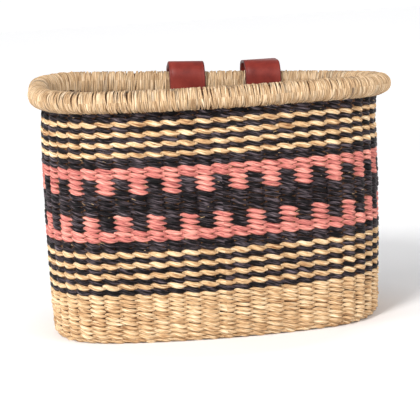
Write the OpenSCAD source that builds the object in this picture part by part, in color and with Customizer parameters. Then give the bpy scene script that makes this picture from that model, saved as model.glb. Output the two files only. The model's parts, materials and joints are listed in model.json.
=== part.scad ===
// Twined grass bicycle basket with two buckled leather straps.
// Millimetres. The basket stands on z = 0, its bowed front faces -Y and the
// flat back, with the straps, faces +Y.

/* [Basket body] */
// Half of the outside width of the wall just under the rim
half_w = 168.5; // [160:0.5:180]
// Half of the outside depth of the wall just under the rim
half_d = 92; // [86:0.5:98]
// How much narrower each side is at the base
taper_w = 5.5; // [0:0.5:8]
// How much shallower the front and the back are at the base
taper_d = 3.5; // [0:0.5:6]
// Outward swell of the wall at half height
bulge = 2; // [0:0.5:3]
// Corner radius at the back
back_r = 55; // [45:1:65]
// Corner radius at the front
front_r = 73; // [60:1:80]
// Radius of the bowed front
bow_r = 450; // [350:10:700]
// Radius of the rounded bottom edge
edge_r = 12; // [8:1:16]
// Thickness of the woven base
base_t = 7; // [5:0.5:9]

/* [Colour bands] */
// Height of the plain natural band at the bottom
natural_h = 48.5; // [40:0.5:54]
// Height of the lower striped band with its border
lower_h = 52.5; // [44:0.5:58]
// Height of the pink and black pattern
middle_h = 72; // [60:1:80]
// Height of the upper striped band with its borders
upper_h = 54.5; // [46:0.5:60]
// Twined rows in the lower striped band, border included
lower_rows = 10; // [10:1:10]
// Twined rows in the pink and black pattern
middle_rows = 14; // [14:1:14]
// Twined rows in the upper striped band, borders included
upper_rows = 11; // [11:1:11]

/* [Weave] */
// Thickness of the outer and of the inner weft
weft_t = 2.8; // [2.4:0.1:3.2]
// Space between the two wefts, where the stakes stand
stake_gap = 3; // [2.6:0.1:3.6]
// Number of stakes
stake_count = 56; // [40:2:70]
// Radius of a stake
stake_r = 0.9; // [0.7:0.1:1]

/* [Rim] */
// Outside radius of the wrapped rim
rim_r = 10.5; // [10:0.5:12]
// Thickness of the straw wrap
wrap_t = 2.7; // [2:0.1:4]
// How far the rim's centre line stands outside the wall face
rim_out = 3; // [3:0.5:6]
// Height of the rim's centre above the wall's top
rim_lift = 10.5; // [10:0.5:12]

/* [Straps] */
// Width of the leather straps
strap_w = 38; // [30:1:40]
// Thickness of the leather
leather_t = 3; // [2.5:0.1:3]
// Distance between the two straps, centre to centre
strap_pitch = 80; // [70:1:90]
// Sideways place of the point midway between the straps
strap_mid_x = 26; // [0:1:30]
// Radius of the handlebar that the loops take
bar_r = 16; // [15:0.1:16]
// Height of the left strap's hump above the rim's centre
hump_left = 22; // [17:0.5:23]
// Height of the right strap's hump above the rim's centre
hump_right = 18; // [17:0.5:23]
// Length of the hanging tail
tail_l = 72; // [60:1:80]

/* [Buckles] */
// Height of the line that the buckle straps swing about
swing_z = 178; // [170:1:182]
// Height of the buckles' heel bars
heel_z = 118; // [112:1:122]
// Outside length of a buckle frame
frame_l = 34; // [30:1:38]
// Radius of the frame's wire
wire_r = 1.9; // [1.6:0.1:2.1]
// Height of a keeper
keeper_h = 10; // [8:1:12]

/* [Hidden] */
$fn = 72;

gap = 0.3;                        // play between pieces that touch or turn
splice = 0.05;                    // millimetres or degrees between two lengths of the rim
thread_r = 0.4;
stitch_l = 3.5;                   // length of a stitch
stitch_pitch = 5.5;
seam_inset = 4;                   // from a strap's long edge to its row of stitches

// Colours
natural = [0.86, 0.72, 0.52];
dark = [0.17, 0.14, 0.17];
pink = [0.86, 0.48, 0.44];
tan_straw = [0.92, 0.80, 0.60];
leather = [0.55, 0.22, 0.18];
thread = [0.80, 0.66, 0.50];
brass = [0.78, 0.62, 0.32];

// Heights of the bands
lower_z = natural_h;
middle_z = lower_z + lower_h;
upper_z = middle_z + middle_h;
wall_h = upper_z + upper_h;
lower_row = lower_h / lower_rows;
middle_row = middle_h / middle_rows;
upper_row = upper_h / upper_rows;
foot = 2;                                        // the outer weft starts this far above the floor
plain_z = [base_t, edge_r, 24, 36, natural_h];   // tiers of the plain band above the base
core_inset = weft_t + stake_gap;
inner_tiers = 10;
inner_tier = (wall_h - base_t) / inner_tiers;

// Rim
rim_w = half_w + rim_out;
rim_d = half_d + rim_out;
rim_z = wall_h + rim_lift;

// Straps, in a plane across the back wall: first value along Y, second along Z
half_t = leather_t / 2;
leg_bottom = 172;
back_face = wall_d(leg_bottom - inner_tier / 2) - core_inset - weft_t;   // inner face behind the leg
leg_y = back_face - gap - half_t;                 // middle of the strap's inner leg
hump_r = rim_d - leg_y;                           // middle of the leather over the rim
bar_mid_r = bar_r + half_t;                       // middle of the leather round the handlebar
bar_clear = 1.5;                                  // between the rim and the handlebar, along Y
bar_drop = 2;                                     // the handlebar's axis lies below the rim's centre
bar_y = rim_d + rim_r + bar_r + bar_clear;
bar_z = rim_z - bar_drop;
loop_end = -35;                                   // where the tail hangs, below the horizontal
loop_stop = loop_end + 8.5;                       // the loop stops short of it, so that the tail turns
tail_y = bar_y + bar_mid_r * cos(loop_end);
tail_z = bar_z + bar_mid_r * sin(loop_end);
hole_r = 2.2;
hole_pitch = 11;
hole_count = 4;
first_hole = 17;                                  // from the tail's tip to its first hole
tip_l = 14;                                       // length of the tail's pointed tip
tip_half = 8;                                     // half width of the tip's blunt end

// Buckle side
frame_room = 12;                                  // how much wider the frame is than the strap
wall_back = wall_d(swing_z) + swell(swing_z - 40);   // the back wall stands no further out
anchor_y = wall_back + gap;                       // inner face of the folded anchor
anchor_top = 212;
main_y = anchor_y + leather_t;                    // inner face of the hanging strap
fold_t = 2.5;                                     // leather thickness where it is folded
heel_y = main_y + fold_t;                         // the heel bar lies between the two layers
fold_in = wire_r + gap;
fold_out = fold_in + fold_t;
return_top = 168;                                 // top of the leather folded back
slot_w = 7;                                       // slot for the prong
slot_top = heel_z + 9;
frame_w = strap_w + frame_room;
toe_z = heel_z - frame_l + 2 * wire_r;            // middle of the toe bar
inner_half = frame_w / 2 - wire_r;                // middle of the frame's side wires
prong_r = 1.5;
eye_w = 4.4;
eye_out = fold_in + 1.5;
keeper_t = 2;
keeper_z = heel_z + fold_out + 1;                 // bottom of the keeper when it is down
keeper_gap = 0.5;

// Half width and half depth at height z without the swell, the swell, and the rounded bottom edge
function wall_w(z) = half_w - taper_w * (1 - z / wall_h);
function wall_d(z) = half_d - taper_d * (1 - z / wall_h);
function swell(z) = bulge * sin(180 * z / wall_h);
function edge(z) = z < edge_r ? edge_r - sqrt(edge_r^2 - (edge_r - z)^2) : 0;

// Plan of the basket: y of the bow's centre and of the front corners' centres
function bow_y(d) = bow_r - d;
function front_y(w, d) = bow_y(d) - sqrt((bow_r - front_r)^2 - (w - front_r)^2);

// Points along an arc of n chords, the first and the last included
function arc_points(c, r, a0, a1, n) = [for (i = [0:n]) let(a = a0 + (a1 - a0) * i / n) c + r * [cos(a), sin(a)]];

// The right half of the plan outline, from the back straight to the middle of the bow
function half_outline(w, d, inset) = let(
    lean = atan2(front_y(w, d) - bow_y(d), w - front_r),
    bow = arc_points([0, bow_y(d)], bow_r - inset, lean, -90, 3)
) concat(
    arc_points([w - back_r, d - back_r], back_r - inset, 90, 0, 8),
    arc_points([w - front_r, front_y(w, d)], front_r - inset, 0, lean, 7),
    [for (i = [1:3]) bow[i]]
);

// Plan outline of half width w and half depth d, moved inward by inset
module plan(w, d, inset = 0) {
    right = half_outline(w, d, inset);
    polygon(concat(right, [for (i = [len(right) - 2:-1:0]) [-right[i].x, right[i].y]]));
}

// A ring of the wall from z0 to z1, between two insets from the face without the swell
module wall_ring(z0, z1, inset0, inset1) {
    zm = (z0 + z1) / 2;
    translate([0, 0, z0]) linear_extrude(z1 - z0) difference() {
        plan(wall_w(zm), wall_d(zm), inset0 + edge(zm));
        plan(wall_w(zm), wall_d(zm), inset1 + edge(zm));
    }
}

// A ring of the outer weft, which swells outward
module outer_ring(z0, z1) {
    wall_ring(z0, z1, -swell((z0 + z1) / 2), weft_t);
}

// Outer weft over rows first to last (counted from 0) of a band
module weft(z, row, first, last) {
    outer_ring(z + first * row, z + (last + 1) * row);
}

// Point at distance s along the plan outline, from the middle of the back, going clockwise
// seen from above, for an outline of half width w and half depth d inset by i
function plan_legs(w, d, i) = let(
    sweep = 90 + atan2(front_y(w, d) - bow_y(d), w - front_r)
) [
    w - back_r, (back_r - i) * PI / 2, d - back_r - front_y(w, d),
    (front_r - i) * (90 - sweep) * PI / 180, (bow_r - i) * sweep * PI / 180
];
function plan_half(w, d, i) = let(l = plan_legs(w, d, i)) l[0] + l[1] + l[2] + l[3] + l[4];
function half_point(w, d, i, s) = let(
    l = plan_legs(w, d, i),
    s1 = s - l[0], s2 = s1 - l[1], s3 = s2 - l[2], s4 = s3 - l[3],
    a1 = 90 - s1 / (back_r - i) * 180 / PI,
    a3 = -s3 / (front_r - i) * 180 / PI,
    a4 = atan2(front_y(w, d) - bow_y(d), w - front_r) - s4 / (bow_r - i) * 180 / PI
) s1 < 0 ? [s, d - i]
    : s2 < 0 ? [w - back_r, d - back_r] + (back_r - i) * [cos(a1), sin(a1)]
    : s3 < 0 ? [w - i, d - back_r - s2]
    : s4 < 0 ? [w - front_r, front_y(w, d)] + (front_r - i) * [cos(a3), sin(a3)]
    : [0, bow_y(d)] + (bow_r - i) * [cos(a4), sin(a4)];
// The fraction u of the whole way round, from -0.5 to 0.5
function plan_point(w, d, i, u) = let(p = half_point(w, d, i, 2 * abs(u) * plan_half(w, d, i)))
    [sign(u) * p.x, p.y];

// A straight rod from p to q
module rod(p, q, r) {
    v = q - p;
    translate(p) rotate([0, acos(v.z / norm(v)), atan2(v.y, v.x)]) cylinder(h = norm(v), r = r);
}

// Sweeps a round profile along the rim's path, in lengths that stop a hair short of each other
module along_rim() {
    bx = rim_w - back_r;
    by = rim_d - back_r;
    fx = rim_w - front_r;
    fy = front_y(rim_w, rim_d);
    lean = atan2(fy - bow_y(rim_d), fx);
    turn = 180 + 2 * (lean - splice);
    translate([splice - bx, rim_d, rim_z]) rotate([0, 90, 0]) linear_extrude(2 * (bx - splice)) children();
    for (side = [0, 1]) mirror([side, 0, 0]) {
        translate([bx, by, rim_z]) rotate_extrude(angle = 90) translate([back_r, 0]) children();
        translate([rim_w, fy + splice, rim_z]) rotate([-90, 0, 0])
            linear_extrude(by - fy - 2 * splice) children();
        translate([fx, fy, rim_z]) rotate([0, 0, lean]) rotate_extrude(angle = -lean)
            translate([front_r, 0]) children();
    }
    translate([0, bow_y(rim_d), rim_z]) rotate([0, 0, splice - 180 - lean])
        rotate_extrude(angle = turn, $fn = 360) translate([bow_r, 0]) children();
}

// Places a shape drawn across the back wall (Y, Z) as an extrusion of width w about x = 0
module across(w) {
    translate([-w / 2, 0, 0]) rotate([90, 0, 90]) linear_extrude(w) children();
}

function strap_x(side) = strap_mid_x + side * strap_pitch / 2;
module at_strap(side) {
    translate([strap_x(side), 0, 0]) children();
}

module base_panel() {
    zm = (foot + base_t) / 2;
    color(natural) linear_extrude(base_t) plan(wall_w(zm), wall_d(zm), weft_t + edge(zm) + 0.1);
}

module inner_weft() {
    color(natural) for (i = [0:inner_tiers - 1])
        wall_ring(base_t + i * inner_tier, base_t + (i + 1) * inner_tier, core_inset, core_inset + weft_t);
}

module stakes() {
    mid = weft_t + stake_gap / 2;
    z0 = base_t + 0.2;
    z1 = wall_h - 0.5;
    color(tan_straw) for (k = [0:stake_count - 1]) {
        u = (k + 0.5) / stake_count - 0.5;
        p = plan_point(wall_w(z0), wall_d(z0), mid, u);
        q = plan_point(wall_w(z1), wall_d(z1), mid, u);
        rod([p.x, p.y, z0], [q.x, q.y, z1], stake_r);
    }
}

module lower_wall_natural() {
    color(natural) {
        outer_ring(foot, base_t);
        for (i = [0:len(plain_z) - 2]) outer_ring(plain_z[i], plain_z[i + 1]);
    }
}

module lower_stripes_dark() {
    color(dark) for (i = [0:2:lower_rows - 4]) weft(lower_z, lower_row, i, i);
}

module lower_stripes_natural() {
    color(natural) for (i = [1:2:lower_rows - 3]) weft(lower_z, lower_row, i, i);
}

module lower_border_black() {
    color(dark) weft(lower_z, lower_row, lower_rows - 2, lower_rows - 1);
}

module pink_band_lower() {
    color(pink) weft(middle_z, middle_row, 0, 1);
}

module check_band_lower() {
    color(pink) weft(middle_z, middle_row, 2, 4);
}

module centre_band_black() {
    color(dark) weft(middle_z, middle_row, 5, 8);
}

module check_band_upper() {
    color(pink) weft(middle_z, middle_row, 9, 11);
}

module pink_band_upper() {
    color(pink) weft(middle_z, middle_row, 12, 13);
}

module upper_border_black() {
    color(dark) weft(upper_z, upper_row, 0, 1);
}

module upper_stripes_natural() {
    color(natural) for (i = [2:2:upper_rows - 3]) weft(upper_z, upper_row, i, i);
}

module upper_stripes_dark() {
    color(dark) for (i = [3:2:upper_rows - 4]) weft(upper_z, upper_row, i, i);
}

module top_border_black() {
    color(dark) weft(upper_z, upper_row, upper_rows - 2, upper_rows - 1);
}

module rim_core() {
    color(tan_straw) along_rim() circle(rim_r - wrap_t - gap);
}

module rim_wrap() {
    color(tan_straw) along_rim() difference() {
        circle(rim_r);
        circle(rim_r - wrap_t);
    }
}

// The strap's fixed part: up the inside of the wall, over the rim and round the handlebar
module strap(side, hump) {
    hump_z = rim_z + hump - hump_r - half_t;
    span = [bar_y - rim_d, bar_z - hump_z];
    leave = atan2(span.y, span.x) + acos((hump_r - bar_mid_r) / norm(span));
    n = [cos(leave), sin(leave)];
    beyond = 60;                                  // outside the whole strap
    a = [rim_d, hump_z];
    b = [bar_y, bar_z];
    color(leather) at_strap(side) across(strap_w) intersection() {
        difference() {
            strap_side(a, b, n, half_t);
            strap_side(a, b, n, -half_t);
        }
        polygon([
            [leg_y - 2 * leather_t, leg_bottom - 1], [leg_y + 2 * leather_t, leg_bottom - 1], a, b,
            b + beyond * [cos(loop_stop), sin(loop_stop)], b + [beyond, beyond],
            [leg_y - 2 * leather_t, b.y + beyond]
        ]);
    }
}

// Everything below one face of the strap: hump centre a, handlebar centre b, n square to the
// stretch between them, and out as the distance of the face from the middle of the leather
module strap_side(a, b, n, out) {
    translate(a) circle(hump_r + out);
    translate(b) circle(bar_mid_r + out);
    polygon([a, a + (hump_r + out) * n, b + (bar_mid_r + out) * n, b]);
    translate([leg_y - out, leg_bottom]) square([hump_r + out, a.y - leg_bottom]);
}

module strap_left() { strap(-1, hump_left); }
module strap_right() { strap(1, hump_right); }

// Two rows of stitches through a vertical face, each stitch a short round bar
module stitch_rows(face_y, z_low, z_high, rows_x) {
    count = floor((z_high - z_low) / stitch_pitch);
    for (x = rows_x, i = [0:count - 1])
        translate([x, face_y, z_low + i * stitch_pitch]) cylinder(h = stitch_l, r = thread_r, $fn = 16);
}

// A row of stitches along the strap's width
module stitch_line(face_y, z, half_l) {
    count = floor(2 * half_l / stitch_pitch);
    for (i = [0:count - 1])
        translate([(i - (count - 1) / 2) * stitch_pitch - stitch_l / 2, face_y, z]) rotate([0, 90, 0])
            cylinder(h = stitch_l, r = thread_r, $fn = 16);
}

module strap_stitches(side) {
    face = leg_y - half_t - thread_r;
    reach = strap_w / 2 - seam_inset;
    color(thread) at_strap(side) {
        stitch_rows(face, leg_bottom + 6, rim_z - 22, [-reach, reach]);
        stitch_line(face, leg_bottom + 3.5, reach);
        stitch_line(face, rim_z - 20, reach);
    }
}

module strap_stitches_left() { strap_stitches(-1); }
module strap_stitches_right() { strap_stitches(1); }

// The free end: a rounded top that turns about the hinge line, holes and a pointed tip
module strap_tail(side) {
    half = strap_w / 2;
    bottom = tail_z - tail_l;
    color(leather) at_strap(side) difference() {
        union() {
            translate([-half, tail_y, tail_z]) rotate([0, 90, 0]) cylinder(h = strap_w, r = half_t);
            translate([0, tail_y + half_t, 0]) rotate([90, 0, 0]) linear_extrude(leather_t)
                polygon([[-half, tail_z], [-half, bottom + tip_l], [-tip_half, bottom], [tip_half, bottom],
                    [half, bottom + tip_l], [half, tail_z]]);
        }
        for (i = [0:hole_count - 1])
            translate([0, tail_y, bottom + first_hole + i * hole_pitch]) rotate([90, 0, 0])
                cylinder(h = 2 * leather_t, r = hole_r, center = true);
    }
}

module strap_tail_left() { strap_tail(-1); }
module strap_tail_right() { strap_tail(1); }

module buckle_anchor(side) {
    low = swing_z + fold_t / 2 + gap;
    color(leather) at_strap(side) translate([-strap_w / 2, anchor_y, low])
        cube([strap_w, 2 * leather_t, anchor_top - low]);
}

module buckle_anchor_left() { buckle_anchor(-1); }
module buckle_anchor_right() { buckle_anchor(1); }

module anchor_stitches(side) {
    face = anchor_y + 2 * leather_t + thread_r;
    reach = strap_w / 2 - seam_inset;
    color(thread) at_strap(side) {
        stitch_rows(face, swing_z + 7, anchor_top - 6, [-reach, reach]);
        stitch_line(face, swing_z + 4.5, reach);
        stitch_line(face, anchor_top - 4, reach);
    }
}

module anchor_stitches_left() { anchor_stitches(-1); }
module anchor_stitches_right() { anchor_stitches(1); }

// Hanging strap with a rounded top, folded outward round the heel bar, with a slot for the prong
module buckle_strap(side) {
    color(leather) at_strap(side) difference() {
        across(strap_w) {
            translate([main_y, heel_z]) square([fold_t, swing_z - heel_z]);
            translate([main_y + fold_t / 2, swing_z]) circle(fold_t / 2);
            translate([heel_y, heel_z]) square([fold_t, return_top - heel_z]);
            translate([heel_y, heel_z]) circle(fold_out);
        }
        translate([-strap_w, heel_y, heel_z]) rotate([0, 90, 0]) cylinder(h = 2 * strap_w, r = fold_in);
        translate([-slot_w / 2, heel_y - 2 * fold_out, heel_z - 2 * fold_out])
            cube([slot_w, 4 * fold_out, slot_top - heel_z + 2 * fold_out]);
    }
}

module buckle_strap_left() { buckle_strap(-1); }
module buckle_strap_right() { buckle_strap(1); }

module fold_stitches(side) {
    face = heel_y + fold_t + thread_r;
    reach = strap_w / 2 - seam_inset - 1;
    color(thread) at_strap(side) {
        stitch_line(face, return_top - 3, reach);
        stitch_line(face, return_top - 8, reach);
    }
}

module fold_stitches_left() { fold_stitches(-1); }
module fold_stitches_right() { fold_stitches(1); }

// Heel bar, two sides and toe bar, of round wire
module buckle_frame(side) {
    color(brass) at_strap(side) translate([0, heel_y, 0]) {
        for (z = [heel_z, toe_z]) translate([-inner_half, 0, z]) rotate([0, 90, 0])
            cylinder(h = 2 * inner_half, r = wire_r);
        for (x = [-inner_half, inner_half]) translate([x, 0, toe_z]) {
            cylinder(h = heel_z - toe_z, r = wire_r);
            sphere(wire_r);
            translate([0, 0, heel_z - toe_z]) sphere(wire_r);
        }
    }
}

module buckle_frame_left() { buckle_frame(-1); }
module buckle_frame_right() { buckle_frame(1); }

// Eye round the heel bar and a rod that rests on the front of the toe bar
module buckle_prong(side) {
    eye = [0, heel_y, heel_z];
    tip = [0, heel_y + wire_r + prong_r + 0.1, toe_z - 1];
    lift = atan2(tip.y - heel_y, heel_z - tip.z);
    start = eye + (eye_out - 0.5) * [0, sin(lift), -cos(lift)];
    color(brass) at_strap(side) {
        difference() {
            union() {
                translate([-eye_w / 2, heel_y, heel_z]) rotate([0, 90, 0]) cylinder(h = eye_w, r = eye_out);
                rod(start, tip, prong_r);
            }
            translate([-eye_w, heel_y, heel_z]) rotate([0, 90, 0]) cylinder(h = 2 * eye_w, r = fold_in);
        }
    }
}

module buckle_prong_left() { buckle_prong(-1); }
module buckle_prong_right() { buckle_prong(1); }

// A loop of leather round both layers of the hanging strap
module keeper(side) {
    in_w = strap_w + 2 * keeper_gap;
    in_d = 2 * fold_t + 2 * keeper_gap;
    color(leather) at_strap(side) translate([0, heel_y, keeper_z]) linear_extrude(keeper_h)
        difference() {
            square([in_w + 2 * keeper_t, in_d + 2 * keeper_t], center = true);
            square([in_w, in_d], center = true);
        }
}

module keeper_left() { keeper(-1); }
module keeper_right() { keeper(1); }

base_panel();
inner_weft();
stakes();
lower_wall_natural();
lower_stripes_dark();
lower_stripes_natural();
lower_border_black();
pink_band_lower();
check_band_lower();
centre_band_black();
check_band_upper();
pink_band_upper();
upper_border_black();
upper_stripes_dark();
upper_stripes_natural();
top_border_black();
rim_core();
rim_wrap();
strap_left();
strap_right();
strap_stitches_left();
strap_stitches_right();
strap_tail_left();
strap_tail_right();
buckle_anchor_left();
buckle_anchor_right();
anchor_stitches_left();
anchor_stitches_right();
buckle_strap_left();
buckle_strap_right();
fold_stitches_left();
fold_stitches_right();
buckle_frame_left();
buckle_frame_right();
buckle_prong_left();
buckle_prong_right();
keeper_left();
keeper_right();
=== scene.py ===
"""Looks of the twined grass bicycle basket: a woven body, a wrapped rim, leather straps and brass buckles.

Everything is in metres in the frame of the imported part: the basket stands on z = 0, its bowed front
faces -Y and the flat back, with the straps, faces +Y.
"""
import json
import math

import bmesh
import bpy
import numpy as np
from mathutils import Matrix, Vector


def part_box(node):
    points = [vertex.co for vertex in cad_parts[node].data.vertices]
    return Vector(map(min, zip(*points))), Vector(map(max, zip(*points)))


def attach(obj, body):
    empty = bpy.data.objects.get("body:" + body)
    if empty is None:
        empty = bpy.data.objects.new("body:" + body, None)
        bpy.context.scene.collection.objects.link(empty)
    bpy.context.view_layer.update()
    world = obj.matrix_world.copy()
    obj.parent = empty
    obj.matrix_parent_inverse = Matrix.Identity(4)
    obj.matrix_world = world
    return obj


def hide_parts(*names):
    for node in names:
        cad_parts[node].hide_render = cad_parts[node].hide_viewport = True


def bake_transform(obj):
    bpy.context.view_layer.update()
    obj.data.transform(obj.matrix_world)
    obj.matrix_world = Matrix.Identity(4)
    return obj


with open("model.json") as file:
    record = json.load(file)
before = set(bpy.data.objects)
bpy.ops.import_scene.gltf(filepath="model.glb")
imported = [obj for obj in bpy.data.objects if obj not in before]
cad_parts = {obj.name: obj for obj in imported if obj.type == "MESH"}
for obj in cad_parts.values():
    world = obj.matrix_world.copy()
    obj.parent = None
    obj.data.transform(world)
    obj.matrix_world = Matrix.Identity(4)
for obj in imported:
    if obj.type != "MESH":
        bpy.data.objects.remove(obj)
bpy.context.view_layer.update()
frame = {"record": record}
RNG = np.random.default_rng(7)
MM = 0.001


# ---------------------------------------------------------------- sizes read from the frame

def lo_hi(node):
    """Lowest and highest corner of a CAD node, as arrays in metres."""
    low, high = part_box(node)
    return np.array(low), np.array(high)


def joint_point(name):
    """Where a hinge's axis passes, in metres."""
    return next(np.array(j["pos_m"]) for j in frame["record"]["behaviour"]["joints"] if j["name"] == name)


def mount(name):
    """A mount of the record."""
    return next(m for m in frame["record"]["mounts"] if m["name"] == name)


wrap_low, wrap_high = lo_hi("rim_wrap")

RIM_R = (wrap_high[2] - wrap_low[2]) / 2
RIM_W = wrap_high[0] - RIM_R            # half width of the rim's centre line
RIM_D = wrap_high[1] - RIM_R            # half depth of the rim's centre line
RIM_Z = (wrap_high[2] + wrap_low[2]) / 2
RIM_OUT = 3 * MM                        # the rim's centre line stands this far outside the wall
WALL_H = lo_hi("top_border_black")[1][2]
HALF_W = RIM_W - RIM_OUT                # half width of the wall's top, outside
HALF_D = RIM_D - RIM_OUT                # half depth of the wall's top, outside
TAPER = 2.5 * MM                        # the wall's foot is this much further in than its top, as seen
BULGE = 2 * MM                          # the wall's middle stands this much further out
BACK_R = 55 * MM                        # corner radii of the plan, back and front
FRONT_R = 73 * MM
BOW_R = 450 * MM                        # radius of the bowed front
EDGE_R = 9 * MM                         # rounding between the wall and the floor
LEAN = 0.018                            # the hand-made body leans to +X
DIP_X = -0.031                          # and dips towards +X
DIP_XY = -0.027                         # more at the back than at the front
RIM_SHIFT = 2.5 * MM                    # the rim sits this much further to +X than the wall
SHIFT_FROM = WALL_H - 22 * MM           # that shift begins at this height
SHIFT_RISE = 30 * MM                    # and is complete this much higher
STAKES = 56
STAKE_PHASE = 0.25                      # turns the pattern round the basket, in stakes


# ---------------------------------------------------------------- plan outline of the wall

def outline(turn, w, d):
    """Points, outward normals and length of the outline at fractions of the way round.
    It runs counter-clockwise from the middle of the bow."""
    turn = np.asarray(turn, float) % 1
    w, d, turn = np.broadcast_arrays(np.asarray(w, float), np.asarray(d, float), turn)
    bow_y = BOW_R - d
    front_y = bow_y - np.sqrt((BOW_R - FRONT_R) ** 2 - (w - FRONT_R) ** 2)
    lean = np.arctan2(front_y - bow_y, w - FRONT_R)
    legs = np.stack([
        BOW_R * (lean + math.pi / 2), FRONT_R * -lean, d - BACK_R - front_y,
        BACK_R * math.pi / 2 + 0 * w, w - BACK_R,
    ])
    ends = np.cumsum(legs, axis=0)
    half = ends[-1]
    mirrored = turn > 0.5
    s = np.where(mirrored, 1 - turn, turn) * 2 * half
    a_bow = -math.pi / 2 + s / BOW_R
    a_front = lean + (s - ends[0]) / FRONT_R
    a_back = (s - ends[2]) / BACK_R
    cases = [s < ends[0], s < ends[1], s < ends[2], s < ends[3]]
    nx = np.select(cases, [np.cos(a_bow), np.cos(a_front), 1 + 0 * s, np.cos(a_back)], 0 * s)
    ny = np.select(cases, [np.sin(a_bow), np.sin(a_front), 0 * s, np.sin(a_back)], 1 + 0 * s)
    x = np.select(cases, [
        BOW_R * nx, w - FRONT_R + FRONT_R * nx, w, w - BACK_R + BACK_R * nx], w - BACK_R - (s - ends[3]))
    y = np.select(cases, [
        bow_y + BOW_R * ny, front_y + FRONT_R * ny, front_y + s - ends[1], d - BACK_R + BACK_R * ny], d)
    sign = np.where(mirrored, -1.0, 1.0)
    return np.stack([x * sign, y], -1), np.stack([nx * sign, ny], -1), 2 * half


def wall_size(z):
    """Half width and half depth of the wall's outer face at height z, rounded in at the bottom."""
    z = np.asarray(z, float)
    swell = BULGE * np.sin(math.pi * z / WALL_H)
    low = np.clip(EDGE_R - z, 0, EDGE_R)
    inset = EDGE_R - np.sqrt(EDGE_R ** 2 - low ** 2) - swell
    rise = 1 - z / WALL_H
    return HALF_W - TAPER * rise - inset, HALF_D - TAPER * rise - inset


def hand_made(points):
    """Leans and twists the woven body, the more the higher it is, and moves the rim a little further."""
    points = np.array(points, float)
    x, y, z = (points[..., i].copy() for i in range(3))
    points[..., 0] = x + LEAN * z + RIM_SHIFT * np.clip((z - SHIFT_FROM) / SHIFT_RISE, 0, 1)
    points[..., 2] = z + (DIP_X * x + DIP_XY * x * y / RIM_D) * z / RIM_Z
    return points


# ---------------------------------------------------------------- mesh builders

def link(name, data, material):
    """Puts a mesh in the scene with its material."""
    obj = bpy.data.objects.new(name, data)
    bpy.context.scene.collection.objects.link(obj)
    data.materials.append(material)
    return obj


def mesh_piece(name, verts, quads, uvs, material, caps=()):
    """A smooth mesh of quads with one UV per face corner. caps are polygons of vertex numbers."""
    mesh = bpy.data.meshes.new(name)
    verts, quads = np.asarray(verts, float), np.asarray(quads, int)
    sizes = [4] * len(quads) + [len(c) for c in caps]
    loops = np.concatenate([quads.ravel(), *[np.asarray(c) for c in caps]]) if len(caps) else quads.ravel()
    mesh.vertices.add(len(verts))
    mesh.vertices.foreach_set("co", verts.ravel())
    mesh.loops.add(len(loops))
    mesh.loops.foreach_set("vertex_index", loops.astype(np.int32))
    mesh.polygons.add(len(sizes))
    starts = np.concatenate([[0], np.cumsum(sizes)[:-1]]).astype(np.int32)
    mesh.polygons.foreach_set("loop_start", starts)
    mesh.polygons.foreach_set("loop_total", np.asarray(sizes, np.int32))
    mesh.polygons.foreach_set("use_smooth", [True] * len(sizes))
    layer = mesh.uv_layers.new(name="UVMap")
    all_uv = np.zeros((len(loops), 2))
    all_uv[: len(quads) * 4] = np.asarray(uvs, float).reshape(-1, 2)
    layer.data.foreach_set("uv", all_uv.ravel())
    mesh.update(calc_edges=True)
    mesh.validate()
    return link(name, mesh, material)


class Builder:
    """Gathers tubes into one mesh."""

    def __init__(self):
        self.verts, self.quads, self.uvs, self.caps, self.count = [], [], [], [], 0

    def tube(self, rings, u, v0=0.0, v1=1.0, closed=False, capped=True):
        """rings is (n, k, 3): n rings of k points. u is one value a ring; v runs from v0 to v1 round it."""
        n, k = rings.shape[:2]
        self.verts.append(rings.reshape(-1, 3))
        i = np.arange(n if closed else n - 1)[:, None]
        j = np.arange(k)[None, :]
        i2, j2 = (i + 1) % n, (j + 1) % k
        at = lambda a, b: (a * k + b + self.count)
        self.quads.append(np.stack([at(i, j), at(i2, j), at(i2, j2), at(i, j2)], -1).reshape(-1, 4))
        u = np.asarray(u, float)
        step = u[1] - u[0]
        ua = np.broadcast_to(u[i], (len(i), k))
        ub = np.broadcast_to(u[i] + step if closed else u[i2], (len(i), k))
        va = np.broadcast_to(v0 + (v1 - v0) * j / k, (len(i), k))
        vb = np.broadcast_to(v0 + (v1 - v0) * (j + 1) / k, (len(i), k))
        self.uvs.append(np.stack([ua, va, ub, va, ub, vb, ua, vb], -1).reshape(-1, 4, 2))
        if not closed and capped:
            first, last = self.count, self.count + (n - 1) * k
            self.caps.append(np.arange(first, first + k)[::-1])
            self.caps.append(np.arange(last, last + k))
        self.count += n * k

    def piece(self, name, material, shape=np.asarray):
        """Makes the mesh. shape moves its points first."""
        quads, verts = np.concatenate(self.quads), shape(np.concatenate(self.verts))
        return mesh_piece(name, verts, quads, np.concatenate(self.uvs), material, self.caps)


def rings_along(path, side, up, half_side, half_up, k=8, power=1.0, turn=0.0):
    """Elliptical rings of k points at each point of a path, from two unit vectors and two half sizes."""
    a = 2 * math.pi * (np.arange(k) + turn) / k
    ca, sa = np.cos(a), np.sin(a)
    if power != 1.0:
        ca, sa = np.sign(ca) * np.abs(ca) ** power, np.sign(sa) * np.abs(sa) ** power
    hs = np.broadcast_to(np.asarray(half_side, float), (len(path),))[:, None, None]
    hu = np.broadcast_to(np.asarray(half_up, float), (len(path),))[:, None, None]
    across = side[:, None, :] * ca[None, :, None] * hs
    return path[:, None, :] + across + up[:, None, :] * sa[None, :, None] * hu


def frames_along(path, normal_hint):
    """Two unit vectors square to a path and each other, the first as near as can be to the hint."""
    t = np.gradient(path, axis=0)
    t /= np.linalg.norm(t, axis=1, keepdims=True)
    hint = np.broadcast_to(np.asarray(normal_hint, float), path.shape)
    side = hint - t * np.sum(hint * t, axis=1, keepdims=True)
    side /= np.linalg.norm(side, axis=1, keepdims=True)
    return side, np.cross(t, side)


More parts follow.
